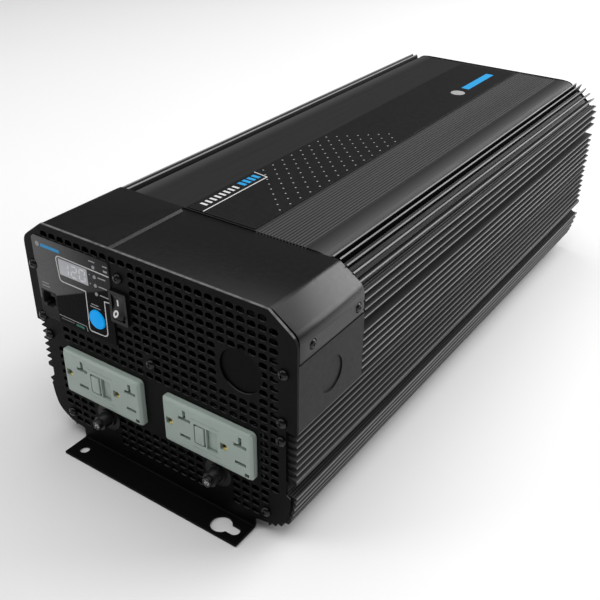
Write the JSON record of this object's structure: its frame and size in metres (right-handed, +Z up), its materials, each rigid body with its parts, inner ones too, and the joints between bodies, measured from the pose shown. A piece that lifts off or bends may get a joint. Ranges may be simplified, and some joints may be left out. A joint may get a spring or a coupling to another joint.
{
  "type": "power inverter",
  "caption": "Finned black aluminium power inverter with two twin outlets, breakers, a control panel with display and rocker, slotted mounting feet, rear fans and battery studs.",
  "frame": {"origin": "on the mounting plane under the feet, at the middle of the whole part's length and width", "axes": "+Y from the outlet end to the battery end, +Z up, +X to the right when facing the outlets"},
  "size_m": [0.2036, 0.5106, 0.158],
  "materials": {
    "extrusion_black": "black anodised, satin, fine die lines along the fins",
    "panel_black": "black fine-texture powder coat",
    "cover_black": "smooth satin black powder coat",
    "label_black": "matt black film with light print",
    "zinc_steel": "zinc plated",
    "black_screw": "black oxide",
    "overlay_gloss": "glossy printed film",
    "window_smoke": "smoked clear lens",
    "digit_white": "lit segments",
    "black_plastic": "moulded, fine texture",
    "gloss_black": "polished moulded plastic",
    "lens_clear": "frosted light pipe",
    "pcb_green": "solder mask",
    "button_blue": "satin silicone rubber, blue",
    "outlet_grey": "moulded thermoplastic, pale grey-green",
    "outlet_back": "moulded thermoset",
    "brass": "bright strip",
    "copper": "bright copper strip",
    "red_plastic": "moulded insulator",
    "ferrite": "sintered ferrite",
    "winding": "taped copper winding",
    "cap_sleeve": "shrink sleeve",
    "epoxy_black": "moulded epoxy",
    "aluminium_bar": "mill finish",
    "choke_wire": "enamelled wire",
    "ivory_plastic": "moulded"
  },
  "bodies": {
    "housing": {"lower_extrusion": "extrusion_black", "upper_extrusion": "extrusion_black", "front_panel": "panel_black", "rear_panel": "panel_black", "left_cover": "cover_black", "right_cover": "cover_black", "right_side_plate": "cover_black", "top_label": "label_black", "compartment_bulkhead": "zinc_steel", "front_panel_screws": "black_screw", "rear_panel_screws": "black_screw", "cover_screws": "black_screw", "control_overlay": "overlay_gloss", "display_window": "window_smoke", "display_digits": "digit_white", "display_module": "black_plastic", "indicator_lenses": "lens_clear", "control_board": "pcb_green", "remote_jack": "black_plastic", "rocker_housing": "black_plastic", "outlet_left_face": "outlet_grey", "outlet_left_body": "outlet_back", "outlet_left_contacts": "brass", "outlet_right_face": "outlet_grey", "outlet_right_body": "outlet_back", "outlet_right_contacts": "brass", "outlet_indicator_lenses": "gloss_black", "breaker_bodies": "black_plastic", "breaker_nuts": "black_plastic", "fan_left_frame": "black_plastic", "fan_right_frame": "black_plastic", "fan_guards": "zinc_steel", "fan_screws": "zinc_steel", "positive_terminal_block": "red_plastic", "negative_terminal_block": "black_plastic", "positive_studs": "brass", "negative_studs": "brass", "stud_nuts": "zinc_steel", "busbars": "copper", "ground_stud": "zinc_steel", "main_board": "pcb_green", "board_standoffs": "brass", "transformer_cores": "ferrite", "transformer_windings": "winding", "bulk_capacitors": "cap_sleeve", "input_capacitors": "cap_sleeve", "power_transistors": "epoxy_black", "transistor_clamps": "aluminium_bar", "output_choke": "choke_wire", "ac_terminal_block": "ivory_plastic"},
    "rocker": {"rocker": "gloss_black"},
    "power_button": {"power_button": "button_blue"},
    "outlet_left_test": {"outlet_left_test_button": "outlet_grey"},
    "outlet_left_reset": {"outlet_left_reset_button": "outlet_grey"},
    "outlet_right_test": {"outlet_right_test_button": "outlet_grey"},
    "outlet_right_reset": {"outlet_right_reset_button": "outlet_grey"},
    "breaker_left": {"breaker_left_reset": "gloss_black"},
    "breaker_right": {"breaker_right_reset": "gloss_black"},
    "fan_left": {"fan_left_rotor": "black_plastic"},
    "fan_right": {"fan_right_rotor": "black_plastic"}
  },
  "joints": [
    {"name": "rocker_tilt", "type": "hinge", "parent": "housing", "child": "rocker", "pos_m": [-0.0228, -0.2327, 0.1212], "axis": [1, 0, 0], "range_deg": [0, 18]},
    {"name": "power_button_press", "type": "slide", "parent": "housing", "child": "power_button", "axis": [0, 1, 0], "range_m": [0, 0.0014], "stiffness_N_per_m": 500},
    {"name": "outlet_left_test_press", "type": "slide", "parent": "housing", "child": "outlet_left_test", "axis": [0, 1, 0], "range_m": [0, 0.0012], "stiffness_N_per_m": 600},
    {"name": "outlet_left_reset_press", "type": "slide", "parent": "housing", "child": "outlet_left_reset", "axis": [0, 1, 0], "range_m": [0, 0.0012], "stiffness_N_per_m": 600},
    {"name": "outlet_right_test_press", "type": "slide", "parent": "housing", "child": "outlet_right_test", "axis": [0, 1, 0], "range_m": [0, 0.0012], "stiffness_N_per_m": 600},
    {"name": "outlet_right_reset_press", "type": "slide", "parent": "housing", "child": "outlet_right_reset", "axis": [0, 1, 0], "range_m": [0, 0.0012], "stiffness_N_per_m": 600},
    {"name": "breaker_left_trip", "type": "slide", "parent": "housing", "child": "breaker_left", "axis": [0, -1, 0], "range_m": [0, 0.004]},
    {"name": "breaker_right_trip", "type": "slide", "parent": "housing", "child": "breaker_right", "axis": [0, -1, 0], "range_m": [0, 0.004]},
    {"name": "fan_left_spin", "type": "hinge", "parent": "housing", "child": "fan_left", "pos_m": [-0.042, 0.2143, 0.107], "axis": [0, 1, 0], "continuous": true},
    {"name": "fan_right_spin", "type": "hinge", "parent": "housing", "child": "fan_right", "pos_m": [0.042, 0.2143, 0.107], "axis": [0, 1, 0], "continuous": true}
  ]
}
